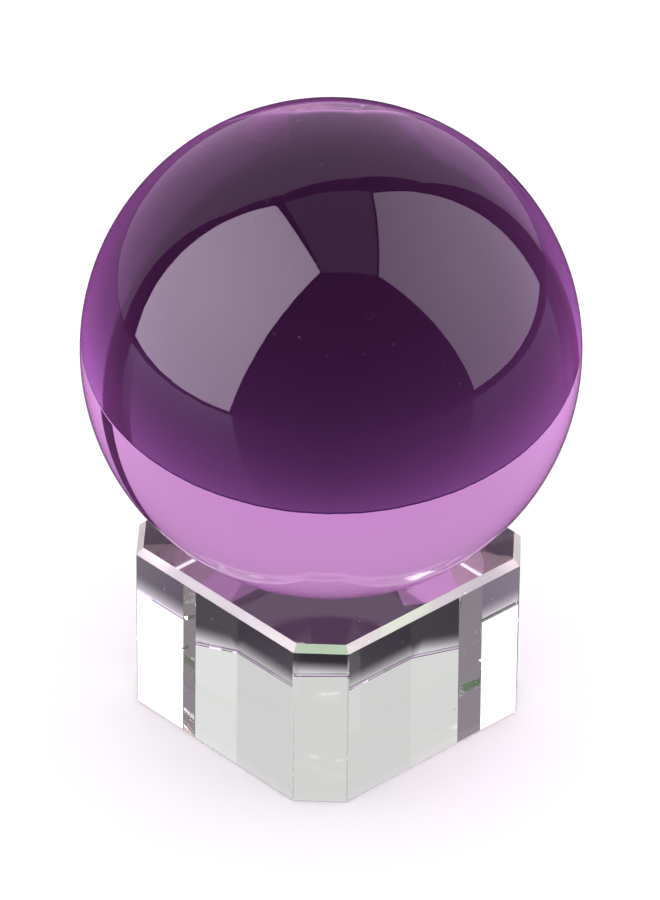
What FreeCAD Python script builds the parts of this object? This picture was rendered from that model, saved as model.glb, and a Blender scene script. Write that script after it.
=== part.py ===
import FreeCAD, Part
import os

# Crystal ball on a glass block. Millimetres, +Z up.
# The origin is the centre of the block's underside, on the surface that it stands on.
# The block's four broad faces look along +X, -X, +Y and -Y.

# Driving dimensions
BALL_DIAMETER = 80.0
STAND_SIDE = 50.0        # across two opposite broad faces
STAND_HEIGHT = 30.0
CORNER_LEG = 6.2         # how far an upright corner is cut back along both of its broad faces
BACK_LEG_X = 6.6         # the -X, +Y corner is ground off further: this far along the +Y face
BACK_LEG_Y = 7.9         # and this far along the -X face
TOP_BEVEL = 1.1          # 45 degree bevel round the top face
UNDERSIDE_ARRIS = 0.35   # fine bevel round the underside
UPRIGHT_ARRIS = 0.15     # fine bevel on the eight upright edges
SEAT_DEPTH = 3.4         # how far the ball's lowest point lies below the top face
SEAT_GAP = 0.15          # air between the ball and its seat

# Worked out from them
BALL_RADIUS = BALL_DIAMETER / 2
BALL_CENTRE_HEIGHT = STAND_HEIGHT - SEAT_DEPTH + BALL_RADIUS
SEAT_RADIUS = BALL_RADIUS + SEAT_GAP

SAME_HEIGHT = 1e-6       # two corners nearer than this in height are level


def sphere(radius):
    """A sphere about the centre of the ball."""
    return Part.makeSphere(radius, FreeCAD.Vector(0, 0, BALL_CENTRE_HEIGHT))


def cut_corner_prism():
    """The block's plan, a square with its four corners cut off, drawn up to the full height."""
    half = STAND_SIDE / 2
    inner = half - CORNER_LEG
    corners = [(-inner, -half), (inner, -half), (half, -inner), (half, inner), (inner, half),
               (BACK_LEG_X - half, half), (-half, half - BACK_LEG_Y), (-half, -inner)]
    outline = [FreeCAD.Vector(x, y, 0) for x, y in corners]
    face = Part.Face(Part.makePolygon(outline + outline[:1]))
    return face.extrude(FreeCAD.Vector(0, 0, STAND_HEIGHT))


def level_edges(solid, height):
    """The edges of a solid that lie level at one height."""
    return [edge for edge in solid.Edges
            if all(abs(corner.Z - height) < SAME_HEIGHT for corner in edge.Vertexes)]


def upright_edges(solid):
    """The edges of a prism that run from its foot to its top."""
    return [edge for edge in solid.Edges
            if abs(edge.Vertexes[0].Z - edge.Vertexes[1].Z) > SAME_HEIGHT]


def make_ball():
    """The solid glass ball."""
    return sphere(BALL_RADIUS)


def make_stand():
    """The solid glass block: bevelled, with its fine arrises and the dished seat for the ball."""
    prism = cut_corner_prism()
    bevelled = prism.makeChamfer(TOP_BEVEL, level_edges(prism, STAND_HEIGHT))
    bevelled = bevelled.makeChamfer(UNDERSIDE_ARRIS, level_edges(bevelled, 0))
    eased = prism.makeChamfer(UPRIGHT_ARRIS, upright_edges(prism))
    return bevelled.common(eased).cut(sphere(SEAT_RADIUS))


def export(node, shape):
    """Write one sub-part, as its single solid."""
    solid = shape.Solids[0]
    print(node, "solids", len(shape.Solids), "valid", solid.isValid(), "volume", round(solid.Volume, 1))
    solid.exportStep("parts/" + node + ".step")


os.makedirs("parts", exist_ok=True)
export("ball", make_ball())
export("stand", make_stand())
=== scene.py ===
import math

import bmesh
import bpy
from mathutils import Matrix, Vector


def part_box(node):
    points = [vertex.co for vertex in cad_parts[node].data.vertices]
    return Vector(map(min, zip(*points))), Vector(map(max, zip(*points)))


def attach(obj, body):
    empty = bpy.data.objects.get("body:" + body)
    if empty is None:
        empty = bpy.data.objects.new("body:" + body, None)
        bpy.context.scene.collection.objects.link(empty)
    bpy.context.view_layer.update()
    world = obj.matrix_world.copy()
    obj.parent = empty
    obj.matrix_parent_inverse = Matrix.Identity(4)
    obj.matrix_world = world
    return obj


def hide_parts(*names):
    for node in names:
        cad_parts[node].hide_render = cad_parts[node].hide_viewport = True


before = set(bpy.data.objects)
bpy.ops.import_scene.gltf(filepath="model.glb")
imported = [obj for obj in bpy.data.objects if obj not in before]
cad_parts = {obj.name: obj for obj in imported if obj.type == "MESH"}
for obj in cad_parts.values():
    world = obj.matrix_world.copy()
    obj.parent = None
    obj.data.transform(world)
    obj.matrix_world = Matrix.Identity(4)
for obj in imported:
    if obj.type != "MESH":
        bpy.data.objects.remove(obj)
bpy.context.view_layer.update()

MM = 0.001

# ---------------------------------------------------------------- sizes, from the frame
BALL_LOW, BALL_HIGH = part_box("ball")
BALL_CENTRE = Vector((0, 0, (BALL_LOW.z + BALL_HIGH.z) / 2))
BALL_RADIUS = (BALL_HIGH.z - BALL_LOW.z) / 2
STAND_LOW, STAND_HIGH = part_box("stand")
STAND_HALF = (STAND_HIGH.x - STAND_LOW.x) / 2
STAND_HEIGHT = STAND_HIGH.z - STAND_LOW.z

CORNER_LEG = 6.2 * MM        # how far an upright corner is cut back along both faces
BACK_LEG_X = 6.6 * MM        # the -X, +Y corner, along the +Y face
BACK_LEG_Y = 7.9 * MM        # and along the -X face
TOP_BEVEL = 1.1 * MM
UNDERSIDE_ARRIS = 0.35 * MM
UPRIGHT_ARRIS = 0.15 * MM
SEAT_GAP = 0.15 * MM         # between the ball and its seat
SEAT_RADIUS = BALL_RADIUS + SEAT_GAP
MOUTH_RADIUS = math.sqrt(SEAT_RADIUS ** 2 - (BALL_CENTRE.z - STAND_HEIGHT) ** 2)


# ---------------------------------------------------------------- small helpers
def add_object(name, mesh):
    """A new object for a mesh, in the scene."""
    thing = bpy.data.objects.new(name, mesh)
    bpy.context.scene.collection.objects.link(thing)
    return thing


def seen_by(thing, **kinds):
    """Lets only the named kinds of ray meet a piece of the set."""
    for kind in ("camera", "diffuse", "glossy", "transmission", "shadow", "volume_scatter"):
        setattr(thing, "visible_" + kind, kinds.get(kind, False))


def new_material(name):
    """An empty node material, its nodes, its links and its output node."""
    material = bpy.data.materials.new(name)
    material.use_nodes = True
    tree = material.node_tree
    tree.nodes.clear()
    output = tree.nodes.new("ShaderNodeOutputMaterial")
    return material, tree.nodes, tree.links, output


def maths(nodes, links, operation, *values):
    """The result of a sum on sockets or plain numbers."""
    node = nodes.new("ShaderNodeMath")
    node.operation = operation
    for socket, value in zip(node.inputs, values):
        if isinstance(value, bpy.types.NodeSocket):
            links.new(value, socket)
        else:
            socket.default_value = value
    return node.outputs["Value"]


def ramp(nodes, links, value, start, end, low, high):
    """Turns the stretch of a value from start to end into one from low to high."""
    spread = nodes.new("ShaderNodeMapRange")
    for socket, limit in (("From Min", start), ("From Max", end), ("To Min", low), ("To Max", high)):
        if isinstance(limit, bpy.types.NodeSocket):
            links.new(limit, spread.inputs[socket])
        else:
            spread.inputs[socket].default_value = limit
    links.new(value, spread.inputs["Value"])
    return spread.outputs["Result"]


# ---------------------------------------------------------------- the ball
BALL_CELLS = 96          # cells along each edge of the cube that the sphere is blown up from


def make_ball_mesh():
    """A sphere of even quads: a gridded cube blown up to the ball, its cells evened out by angle."""
    grid = bmesh.new()
    steps = [math.tan((2 * i / BALL_CELLS - 1) * math.pi / 4) for i in range(BALL_CELLS + 1)]
    for axis in range(3):
        for side in (-1, 1):
            rows = []
            for a in steps:
                row = []
                for b in steps:
                    place = Vector((side, side * a, b))
                    place = Vector((place[-axis % 3], place[(1 - axis) % 3], place[(2 - axis) % 3]))
                    row.append(grid.verts.new(place.normalized()))
                rows.append(row)
            for i in range(BALL_CELLS):
                for j in range(BALL_CELLS):
                    grid.faces.new((rows[i][j], rows[i + 1][j], rows[i + 1][j + 1], rows[i][j + 1]))
    bmesh.ops.remove_doubles(grid, verts=grid.verts, dist=1e-6)
    bmesh.ops.recalc_face_normals(grid, faces=grid.faces)
    for vert in grid.verts:
        vert.co = BALL_CENTRE + BALL_RADIUS * vert.co.normalized()
    for face in grid.faces:
        face.smooth = True
    mesh = bpy.data.meshes.new("glass_ball")
    grid.to_mesh(mesh)
    grid.free()
    mesh.normals_split_custom_set_from_vertices(
        [(vert.co - BALL_CENTRE).normalized() for vert in mesh.vertices])
    return mesh


# ---------------------------------------------------------------- the stand
SEAT_SPOKES = 192        # points round the seat's mouth
SEAT_RINGS = 40          # rings from the mouth to the bottom of the seat
RIM_WIDTH = 0.2 * MM     # polished-over edge of the seat's mouth
RIM_STEPS = 4
BLANK_WIDTH = 2.2 * STAND_HALF
SLOPING = 0.1            # a bevel's normal is at least this far from level and from upright


def stand_outline():
    """The block's eight corners in plan, one after the other, anticlockwise."""
    half = STAND_HALF
    inner = half - CORNER_LEG
    corners = [(-inner, -half), (inner, -half), (half, -inner), (half, inner), (inner, half),
               (BACK_LEG_X - half, half), (-half, half - BACK_LEG_Y), (-half, -inner)]
    return [Vector((x, y, 0)) for x, y in corners]


def cut_planes():
    """Each ground face of the block but its top and underside, as a point on it and its outward normal."""
    planes = []
    outline = stand_outline()
    normals = []
    for start, end in zip(outline, outline[1:] + outline[:1]):
        normal = (end - start).cross(Vector((0, 0, 1))).normalized()
        normals.append(normal)
        planes.append((start, normal))
        for slope, height, size in ((-1, 0, UNDERSIDE_ARRIS), (1, STAND_HEIGHT, TOP_BEVEL)):
            point = start - normal * size + Vector((0, 0, height))
            planes.append((point, (normal + Vector((0, 0, slope))).normalized()))
    for corner, before, after in zip(outline, normals[-1:] + normals[:-1], normals):
        normal = (before + after).normalized()
        inward = UPRIGHT_ARRIS * math.sin(before.angle(after) / 2)
        planes.append((corner - normal * inward, normal))
    return planes


def make_stand_mesh():
    """The block cut out of a blank one plane at a time, with the dished seat let into its top."""
    block = bmesh.new()
    bmesh.ops.create_cube(block, size=1)
    blank = Vector((BLANK_WIDTH, BLANK_WIDTH, STAND_HEIGHT))
    for vert in block.verts:
        vert.co = Vector((vert.co.x * blank.x, vert.co.y * blank.y, (vert.co.z + 0.5) * blank.z))
    for point, normal in cut_planes():
        whole = list(block.verts) + list(block.edges) + list(block.faces)
        cut = bmesh.ops.bisect_plane(block, geom=whole, dist=1e-8, plane_co=point, plane_no=normal,
                                     clear_outer=True)
        rim = [part for part in cut["geom_cut"] if isinstance(part, bmesh.types.BMEdge)]
        if rim:
            bmesh.ops.holes_fill(block, edges=rim)
    bmesh.ops.remove_doubles(block, verts=block.verts, dist=1e-7)
    let_in_seat(block)
    bmesh.ops.recalc_face_normals(block, faces=block.faces)
    for face in block.faces:
        if not face.smooth and face.normal.z > SLOPING and face.normal.z < 1 - SLOPING:
            face.material_index = 1
    mesh = bpy.data.meshes.new("glass_block")
    block.to_mesh(mesh)
    block.free()
    return mesh


def seat_profile():
    """Radius and height of each ring of the seat, from the flat top inwards and down to the middle."""
    profile = []
    centre = BALL_CENTRE.z
    mouth_angle = math.asin(MOUTH_RADIUS / SEAT_RADIUS)
    rim_angle = RIM_WIDTH / SEAT_RADIUS
    start = MOUTH_RADIUS + RIM_WIDTH
    inner = mouth_angle - rim_angle
    inner_point = (SEAT_RADIUS * math.sin(inner), centre - SEAT_RADIUS * math.cos(inner))
    corner = (MOUTH_RADIUS, STAND_HEIGHT)
    for step in range(RIM_STEPS + 1):
        t = step / RIM_STEPS
        radius = (1 - t) ** 2 * start + 2 * t * (1 - t) * corner[0] + t ** 2 * inner_point[0]
        height = (1 - t) ** 2 * STAND_HEIGHT + 2 * t * (1 - t) * corner[1] + t ** 2 * inner_point[1]
        profile.append((radius, height))
    for ring in range(1, SEAT_RINGS):
        angle = inner * (1 - ring / SEAT_RINGS)
        profile.append((SEAT_RADIUS * math.sin(angle), centre - SEAT_RADIUS * math.cos(angle)))
    return profile


def let_in_seat(block):
    """Replaces the block's flat top by a ring of flat top round a smooth dish."""
    top = max(block.faces, key=lambda face: face.calc_center_median().z)
    outline = list(top.edges)
    bmesh.ops.delete(block, geom=[top], context="FACES_ONLY")
    rings = []
    for radius, height in seat_profile():
        ring = []
        for spoke in range(SEAT_SPOKES):
            turn = 2 * math.pi * spoke / SEAT_SPOKES
            ring.append(block.verts.new((radius * math.cos(turn), radius * math.sin(turn), height)))
        rings.append(ring)
    for outer, inner in zip(rings, rings[1:]):
        for i in range(SEAT_SPOKES):
            j = (i + 1) % SEAT_SPOKES
            block.faces.new((outer[i], outer[j], inner[j], inner[i])).smooth = True
    middle = block.verts.new((0, 0, BALL_CENTRE.z - SEAT_RADIUS))
    for i in range(SEAT_SPOKES):
        j = (i + 1) % SEAT_SPOKES
        block.faces.new((rings[-1][i], rings[-1][j], middle)).smooth = True
    mouth = [block.edges.get((rings[0][i], rings[0][(i + 1) % SEAT_SPOKES])) for i in range(SEAT_SPOKES)]
    bmesh.ops.triangle_fill(block, use_beauty=True, use_dissolve=False, edges=outline + mouth,
                            normal=(0, 0, 1))


# ---------------------------------------------------------------- glass
TINT_DEPTH = 80 * MM
VIOLET_TINT = (0.86, 0.35, 0.88)    # what is left of white light after TINT_DEPTH of the glass
CLEAR_TINT = (0.98, 0.995, 0.965)
GLASS_IOR = 1.517
SMUDGE_ROUGHNESS = 0.02
SMUDGE_DETAIL = 5
SMUDGE_START, SMUDGE_FULL = 0.56, 0.78      # where in the soft noise a smudge begins and is whole
SPECK_ROUGHNESS = 0.3
SPECK_SIZE = 1.1 * MM
SPECK_START, SPECK_FULL = 0.76, 0.81
PLAIN_DETAIL = 1


def noise(nodes, links, place, size, detail):
    """Soft noise in the object's own space, with blotches of one size."""
    texture = nodes.new("ShaderNodeTexNoise")
    texture.inputs["Scale"].default_value = 1 / size
    texture.inputs["Detail"].default_value = detail
    links.new(place.outputs["Object"], texture.inputs["Vector"])
    return texture.outputs["Fac"]


def make_glass(name, tint, satin, frost, smudge_size, ripple_size, ripple_depth):
    """
    Glass tinted through its depth, with faint smudges, specks of dust and the ripple of its polish.
    satin is the roughness all over, and frost the share of the light that it scatters.
    """
    material, nodes, links, output = new_material(name)
    shader = nodes.new("ShaderNodeBsdfPrincipled")
    shader.inputs["Base Color"].default_value = (1, 1, 1, 1)
    shader.inputs["Transmission Weight"].default_value = 1 - frost
    shader.inputs["IOR"].default_value = GLASS_IOR
    tinting = nodes.new("ShaderNodeVolumeAbsorption")
    tinting.inputs["Color"].default_value = absorb_colour(tint)
    tinting.inputs["Density"].default_value = absorb_density(tint)
    place = nodes.new("ShaderNodeTexCoord")

    blotches = noise(nodes, links, place, smudge_size, SMUDGE_DETAIL)
    smudge = ramp(nodes, links, blotches, SMUDGE_START, SMUDGE_FULL, satin, satin + SMUDGE_ROUGHNESS)
    dust = noise(nodes, links, place, SPECK_SIZE, PLAIN_DETAIL)
    speck = ramp(nodes, links, dust, SPECK_START, SPECK_FULL, 0, SPECK_ROUGHNESS)
    links.new(maths(nodes, links, "ADD", smudge, speck), shader.inputs["Roughness"])

    bump = nodes.new("ShaderNodeBump")
    bump.inputs["Strength"].default_value = 1
    bump.inputs["Distance"].default_value = ripple_depth
    links.new(noise(nodes, links, place, ripple_size, PLAIN_DETAIL), bump.inputs["Height"])
    links.new(bump.outputs["Normal"], shader.inputs["Normal"])

    links.new(shader.outputs["BSDF"], output.inputs["Surface"])
    links.new(tinting.outputs["Volume"], output.inputs["Volume"])
    return material


def absorb_density(tint):
    """The density at which the channel absorbed most keeps its share of light over TINT_DEPTH."""
    return -math.log(min(tint)) / TINT_DEPTH


def absorb_colour(tint):
    """The absorption colour that gives the tint at that density."""
    strongest = -math.log(min(tint))
    return tuple(1 + math.log(part) / strongest for part in tint) + (1,)


ball = add_object("crystal_ball", make_ball_mesh())
ball.data.materials.append(make_glass(
    "violet_glass", VIOLET_TINT, satin=0, frost=0,
    smudge_size=45 * MM, ripple_size=18 * MM, ripple_depth=0.003 * MM))
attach(ball, "ball")
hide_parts("ball")

stand = add_object("glass_stand", make_stand_mesh())
stand.data.materials.append(make_glass(
    "clear_glass", CLEAR_TINT, satin=0, frost=0,
    smudge_size=30 * MM, ripple_size=14 * MM, ripple_depth=0.004 * MM))
stand.data.materials.append(make_glass(
    "ground_glass", CLEAR_TINT, satin=0.22, frost=0.38,
    smudge_size=9 * MM, ripple_size=1.2 * MM, ripple_depth=0.02 * MM))
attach(stand, "stand")
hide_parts("stand")


# ---------------------------------------------------------------- the set
CAMERA_AZIMUTH = 47.0
CAMERA_ELEVATION = 33.1
CAMERA_ROLL = 0.6
CAMERA_DISTANCE = 1.24
CAMERA_LENS = 309.0
CAMERA_AIM = Vector((0, 0, 47.3 * MM))
AWAY = math.radians(CAMERA_AZIMUTH)   # turns +Y, the way from the camera, into the frame

FLOOR_RADIUS = 6.0
FLOOR_DROP = 0.05 * MM   # the sheets under the object lie this far down, one below the other
TABLE_DROP = 0.1 * MM
HEM_DROP = 0.2 * MM
TABLE_RADIUS = 0.9
HEM_WIDTH = 0.12         # dark rim of the table, a ring of painted dim violet glow
HEM_GLOW_COLOUR = (0.04, 0.02, 0.09, 1)
TABLE_WAVER = 0.03       # the table's edge wavers by this share of its radius
WAVES = (23, 61, 147)    # waves of that edge, all the way round
TABLE_COLOUR = (0.001, 0.001, 0.002, 1)
TABLE_ROUGHNESS = 0.12
TABLE_IOR = 1.45
SHINE_NEAR = (0.6, 0.58, 0.62, 1)     # colour of the table's shine at the block, its reflection painted brighter here
SHINE_FAR = (0.36, 0.31, 0.42, 1)     # and past SHINE_FADE from it
SHINE_FADE = 22 * MM

FOOT_GLOW = 0.66         # painted light: glow put on the table round the block's foot
FOOT_FADE = 3.4 * MM     # how far out from the block it reaches
FOOT_FALL = 1.7          # power of its fading
FOOT_INSET = 0.5 * MM    # how far in under the block it starts
POOL_AWAY = 0.005        # painted pool of light on the table round the block, straight away from the camera
POOL_SIDES = 0.2         # and to both sides
POOL_FALL = 2            # power of its fading from the sides
POOL_FADE = 28 * MM      # how far from the block it ends
# colour of the painted pool of light round the block
AROUND_COLOUR = (1.0, 0.95, 1.02, 1)
UNDER_GLOW = 0.05        # painted violet glow on the table under the block
UNDER_COLOUR = (0.75, 0.36, 0.8, 1)
PAINTED_SHEEN_COLOUR = (1.0, 0.5, 1.08, 1)
PAINTED_SHEEN_SIDES = 0.13        # painted sheen: glow put on the far table to both sides, standing in for its grazing reflection
PAINTED_SHEEN_FALL = 1.3          # power of its fading from the sides
PAINTED_SHEEN_START = 10 * MM
PAINTED_SHEEN_FULL = 200 * MM
FEW_TURNS = 4.5          # rays that have turned more often than this get DEEP_COLOUR
DEEP_COLOUR = (0.27, 0.235, 0.275, 1)

SURROUND_RADIUS = 8.0
SURROUND_AWAY = 0.71     # strength straight away from the camera
SURROUND_SIDES = 1.5     # and to both sides
SURROUND_FALL = 5        # power of its fading from the sides
SET_DISTANCE = 2.0       # of the soft boxes and their like from the ball
CARD_CORNER = 0.8        # of a card's own size, from its middle to where its edge strength is reached
LAVENDER = (0.95, 0.79, 1.0, 1)
WHITE = (1, 1, 1, 1)
SKY_STRENGTH = 1.2


def away_point(azimuth, elevation, distance):
    """A point seen from the ball, by its angle to the right of straight away from the camera."""
    a, e = math.radians(azimuth), math.radians(elevation)
    flat = Vector((math.sin(a) * math.cos(e), math.cos(a) * math.cos(e), math.sin(e)))
    return BALL_CENTRE + distance * (Matrix.Rotation(AWAY, 3, "Z") @ flat)


def glow(name, colour, middle, edge):
    """A material that gives light, of one strength in a card's middle and another at its corners."""
    material, nodes, links, output = new_material(name)
    place = nodes.new("ShaderNodeTexCoord")
    across = nodes.new("ShaderNodeVectorMath")
    across.operation = "DISTANCE"
    across.inputs[1].default_value = (0.5, 0.5, 0.5)
    links.new(place.outputs["Generated"], across.inputs[0])
    light = nodes.new("ShaderNodeEmission")
    light.inputs["Color"].default_value = colour
    strength = ramp(nodes, links, across.outputs["Value"], 0, CARD_CORNER, middle, edge)
    links.new(strength, light.inputs["Strength"])
    links.new(light.outputs["Emission"], output.inputs["Surface"])
    return material


def set_piece(name, grid, material):
    """A piece of the set, from a mesh that is being made."""
    mesh = bpy.data.meshes.new(name)
    grid.to_mesh(mesh)
    grid.free()
    thing = add_object(name, mesh)
    thing.data.materials.append(material)
    return thing


def disc(name, radius, height, material, waver=0, spokes=720):
    """A flat round sheet of the set, facing up, its edge wavering in and out by a share of its radius."""
    grid = bmesh.new()
    rim = []
    for spoke in range(spokes):
        turn = 2 * math.pi * spoke / spokes
        wave = sum(math.sin(count * turn + shift) for shift, count in enumerate(WAVES))
        reach = radius * (1 + waver * wave / len(WAVES))
        rim.append(grid.verts.new((reach * math.cos(turn), reach * math.sin(turn), height)))
    grid.faces.new(rim)
    return set_piece(name, grid, material)


def card(name, corners, material):
    """A card through its corners."""
    grid = bmesh.new()
    grid.faces.new([grid.verts.new(corner) for corner in corners])
    return set_piece(name, grid, material)


def sideways(nodes, links, place):
    """How far a point lies to the left or right of the block as the camera sees it, from 0 to 1."""
    flatten = nodes.new("ShaderNodeVectorMath")
    flatten.operation = "MULTIPLY"
    flatten.inputs[1].default_value = (1, 1, 0)
    unit = nodes.new("ShaderNodeVectorMath")
    unit.operation = "NORMALIZE"
    across = nodes.new("ShaderNodeVectorMath")
    across.operation = "DOT_PRODUCT"
    across.inputs[1].default_value = (math.cos(AWAY), math.sin(AWAY), 0)
    links.new(place.outputs["Object"], flatten.inputs[0])
    links.new(flatten.outputs["Vector"], unit.inputs[0])
    links.new(unit.outputs["Vector"], across.inputs[0])
    return maths(nodes, links, "ABSOLUTE", across.outputs["Value"])


def past_block(nodes, links, place):
    """How far outside the block's plan a point of the table lies, and less than 0 under the block."""
    split = nodes.new("ShaderNodeSeparateXYZ")
    links.new(place.outputs["Object"], split.inputs[0])
    x = maths(nodes, links, "ABSOLUTE", split.outputs["X"])
    y = maths(nodes, links, "ABSOLUTE", split.outputs["Y"])
    broad = maths(nodes, links, "SUBTRACT", maths(nodes, links, "MAXIMUM", x, y), STAND_HALF)
    both = maths(nodes, links, "ADD", x, y)
    corner = maths(nodes, links, "SUBTRACT", both, 2 * STAND_HALF - CORNER_LEG)
    return maths(nodes, links, "MAXIMUM", broad, maths(nodes, links, "MULTIPLY", corner, math.sqrt(0.5)))


def mixed_colour(nodes, links, share, first, second):
    """The first colour where the share is 0 and the second where it is 1."""
    mix = nodes.new("ShaderNodeMix")
    mix.data_type = "RGBA"
    links.new(share, mix.inputs["Factor"])
    for socket in mix.inputs:
        if socket.type == "RGBA" and socket.name == "A":
            socket.default_value = first
        elif socket.type == "RGBA" and socket.name == "B":
            socket.default_value = second
    return next(socket for socket in mix.outputs if socket.type == "RGBA")


def make_table_material():
    """Dark satin table top that only the glass sees, with glow painted on it where the glass would throw
    light, and a painted sheen on the far table.
    """
    material, nodes, links, output = new_material("dark_table")
    dark = nodes.new("ShaderNodeBsdfDiffuse")
    dark.inputs["Color"].default_value = TABLE_COLOUR
    shine = nodes.new("ShaderNodeBsdfGlossy")
    shine.inputs["Roughness"].default_value = TABLE_ROUGHNESS
    fresnel = nodes.new("ShaderNodeFresnel")
    fresnel.inputs["IOR"].default_value = TABLE_IOR
    mix = nodes.new("ShaderNodeMixShader")
    links.new(fresnel.outputs["Fac"], mix.inputs["Fac"])
    links.new(dark.outputs["BSDF"], mix.inputs[1])
    links.new(shine.outputs["BSDF"], mix.inputs[2])

    place = nodes.new("ShaderNodeTexCoord")
    past = past_block(nodes, links, place)
    # the table's gloss is real; its reflection is painted brighter near the block and dimmer past
    # SHINE_FADE
    distance = ramp(nodes, links, past, 0, SHINE_FADE, 0, 1)
    links.new(mixed_colour(nodes, links, distance, SHINE_NEAR, SHINE_FAR), shine.inputs["Color"])
    # painted light: glow on the table under the block, at its foot and in a pool round it
    outside = maths(nodes, links, "GREATER_THAN", past, -FOOT_INSET)
    fading = maths(nodes, links, "POWER", ramp(nodes, links, past, 0, FOOT_FADE, 1, 0), FOOT_FALL)
    foot = maths(nodes, links, "MULTIPLY", outside, fading)
    across = sideways(nodes, links, place)
    side = maths(nodes, links, "POWER", across, POOL_FALL)
    spread = ramp(nodes, links, side, 0, 1, POOL_AWAY, POOL_SIDES)
    pool = maths(nodes, links, "MULTIPLY", spread, ramp(nodes, links, past, 0, POOL_FADE, 1, 0))
    # painted sheen: glow on the far table, strongest to both sides
    far = ramp(nodes, links, past, PAINTED_SHEEN_START, PAINTED_SHEEN_FULL, 0, PAINTED_SHEEN_SIDES)
    painted_sheen = maths(nodes, links, "MULTIPLY", maths(nodes, links, "POWER", across, PAINTED_SHEEN_FALL), far)
    sheen = nodes.new("ShaderNodeEmission")
    sheen.inputs["Color"].default_value = PAINTED_SHEEN_COLOUR
    links.new(painted_sheen, sheen.inputs["Strength"])
    around = maths(nodes, links, "MULTIPLY_ADD", foot, FOOT_GLOW, pool)
    painted_thrown_glow = nodes.new("ShaderNodeEmission")
    links.new(mixed_colour(nodes, links, outside, UNDER_COLOUR, AROUND_COLOUR), painted_thrown_glow.inputs["Color"])
    links.new(ramp(nodes, links, outside, 0, 1, UNDER_GLOW, around), painted_thrown_glow.inputs["Strength"])
    total = mix.outputs["Shader"]
    for light in (painted_thrown_glow, sheen):
        both = nodes.new("ShaderNodeAddShader")
        links.new(total, both.inputs[0])
        links.new(light.outputs["Emission"], both.inputs[1])
        total = both.outputs["Shader"]
    dim_deep_rays(nodes, links, total, output)
    return material


def dim_deep_rays(nodes, links, surface, output):
    """Gives rays that have turned many times inside the glass one dim light, whatever they meet."""
    path = nodes.new("ShaderNodeLightPath")
    light = nodes.new("ShaderNodeEmission")
    light.inputs["Color"].default_value = DEEP_COLOUR
    swap = nodes.new("ShaderNodeMixShader")
    links.new(maths(nodes, links, "GREATER_THAN", path.outputs["Ray Depth"], FEW_TURNS), swap.inputs["Fac"])
    links.new(surface, swap.inputs[1])
    links.new(light.outputs["Emission"], swap.inputs[2])
    links.new(swap.outputs["Shader"], output.inputs["Surface"])


def make_floor_material():
    """Pale matt floor."""
    material, nodes, links, output = new_material("pale_floor")
    shader = nodes.new("ShaderNodeBsdfDiffuse")
    shader.inputs["Color"].default_value = (1, 1, 1, 1)
    links.new(shader.outputs["BSDF"], output.inputs["Surface"])
    return material


def make_surround_material():
    """White all round the table, brighter on the two sides that the soft boxes stand on."""
    material, nodes, links, output = new_material("surround")
    place = nodes.new("ShaderNodeTexCoord")
    side = maths(nodes, links, "POWER", sideways(nodes, links, place), SURROUND_FALL)
    light = nodes.new("ShaderNodeEmission")
    strength = ramp(nodes, links, side, 0, 1, SURROUND_AWAY, SURROUND_SIDES)
    links.new(strength, light.inputs["Strength"])
    dim_deep_rays(nodes, links, light.outputs["Emission"], output)
    return material


def surround():
    """A dome round the whole set."""
    grid = bmesh.new()
    bmesh.ops.create_uvsphere(grid, u_segments=64, v_segments=32, radius=SURROUND_RADIUS)
    return set_piece("surround", grid, make_surround_material())


def band(name, sides, heights, material, cells=24):
    """A card that keeps one distance all over, between two azimuths and two elevations."""
    grid = bmesh.new()
    rows = []
    for i in range(cells + 1):
        azimuth = sides[0] + (sides[1] - sides[0]) * i / cells
        rows.append([grid.verts.new(away_point(azimuth, elevation, SET_DISTANCE)) for elevation in heights])
    for first, second in zip(rows, rows[1:]):
        grid.faces.new((first[0], second[0], second[1], first[1]))
    return set_piece(name, grid, material)


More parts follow.
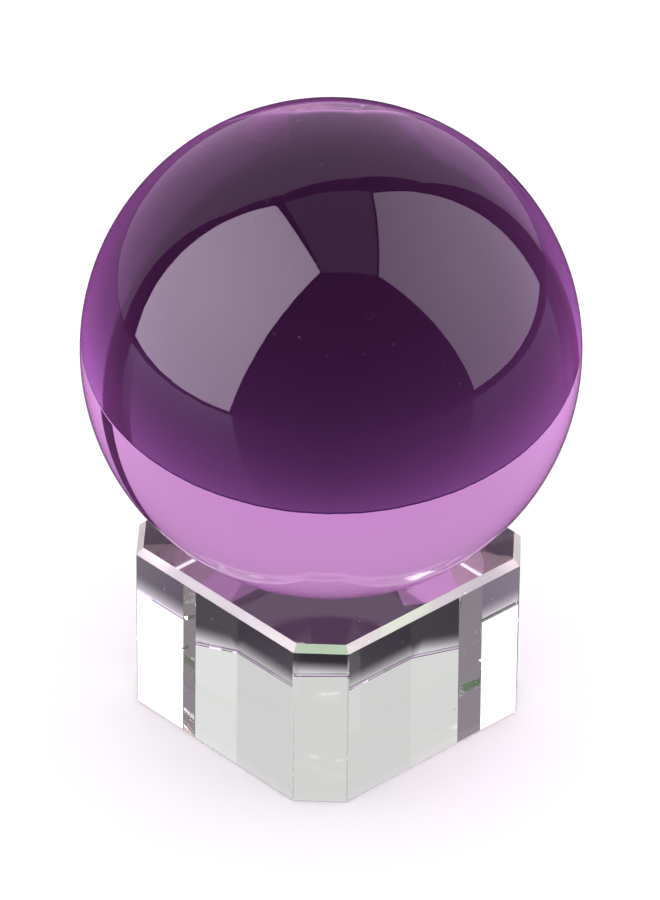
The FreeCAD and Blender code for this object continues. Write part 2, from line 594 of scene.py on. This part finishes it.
def build_set():
    """Pale floor, dark table with painted glow and sheen on it and a thin rim of painted dim glow, white
    surround, backdrop, roof and two soft boxes.
    """
    floor = disc("floor", FLOOR_RADIUS, -FLOOR_DROP, make_floor_material())
    seen_by(floor, camera=True, diffuse=True, shadow=True)
    table = disc("table", TABLE_RADIUS - HEM_WIDTH, -TABLE_DROP, make_table_material(), waver=TABLE_WAVER)
    seen_by(table, glossy=True, transmission=True)
    # the rim is a painted dim violet glow, not lit by the set
    rim_glow = glow("table_hem_glow", HEM_GLOW_COLOUR, 1, 1)
    hem = disc("table_hem_glow", TABLE_RADIUS, -HEM_DROP, rim_glow, waver=TABLE_WAVER)
    seen_by(hem, glossy=True, transmission=True)
    seen_by(surround(), transmission=True)
    panels = {
        "left_box": (LAVENDER, 6.3, 4.7, [(-56.8, 65), (-167.7, 66.2), (-135.8, -4), (-79.8, -2.8)]),
        "right_box": (LAVENDER, 3.0, 2.0, [(37.2, 66.2), (137.2, 59.5), (114.1, -2.2), (57.4, -1.2)]),
        "backdrop": (LAVENDER, 0.68, 0.6, [(-70, -5), (-63, 47), (-44, 64), (15, 63), (41, 43), (43, -5)]),
        "roof": (LAVENDER, 0.33, 0.33, [(-52.4, 67.5), (33.7, 66.2), (138.3, 60.3), (-169.9, 66.3)]),
    }
    for name, (colour, middle, edge, corners) in panels.items():
        points = [away_point(azimuth, elevation, SET_DISTANCE) for azimuth, elevation in corners]
        seen_by(card(name, points, glow(name, colour, middle, edge)), glossy=True)
    bands = {
        "left_top": (4.0, (-22, -150), (54, 76)),
        "right_top": (2.4, (30, 150), (54, 76)),
        "gap": (0.01, (52, 59), (-3, 50)),
    }
    for name, (strength, sides, heights) in bands.items():
        seen_by(band(name, sides, heights, glow(name, WHITE, strength, strength)), transmission=True)


def set_world():
    """Even white light for the floor and the open background."""
    world = bpy.data.worlds.new("studio")
    bpy.context.scene.world = world
    world.use_nodes = True
    background = world.node_tree.nodes["Background"]
    background.inputs["Color"].default_value = WHITE
    background.inputs["Strength"].default_value = SKY_STRENGTH
    world.cycles_visibility.glossy = False
    world.cycles_visibility.transmission = False


def place_camera():
    """A long lens that looks down on the front corner of the block."""
    a, e = math.radians(CAMERA_AZIMUTH), math.radians(CAMERA_ELEVATION)
    back = Vector((math.sin(a) * math.cos(e), -math.cos(a) * math.cos(e), math.sin(e)))
    data = bpy.data.cameras.new("camera")
    data.lens = CAMERA_LENS
    camera = bpy.data.objects.new("camera", data)
    bpy.context.scene.collection.objects.link(camera)
    aim = (-back).to_track_quat("-Z", "Y").to_matrix()
    roll = Matrix.Rotation(math.radians(CAMERA_ROLL), 3, "Z")
    camera.matrix_world = Matrix.Translation(CAMERA_AIM + back * CAMERA_DISTANCE) @ (aim @ roll).to_4x4()
    bpy.context.scene.camera = camera


build_set()
set_world()
place_camera()
bpy.context.scene.view_settings.view_transform = "Standard"
bpy.context.scene.cycles.max_bounces = 32
bpy.context.scene.cycles.glossy_bounces = 24
bpy.context.scene.cycles.transmission_bounces = 32
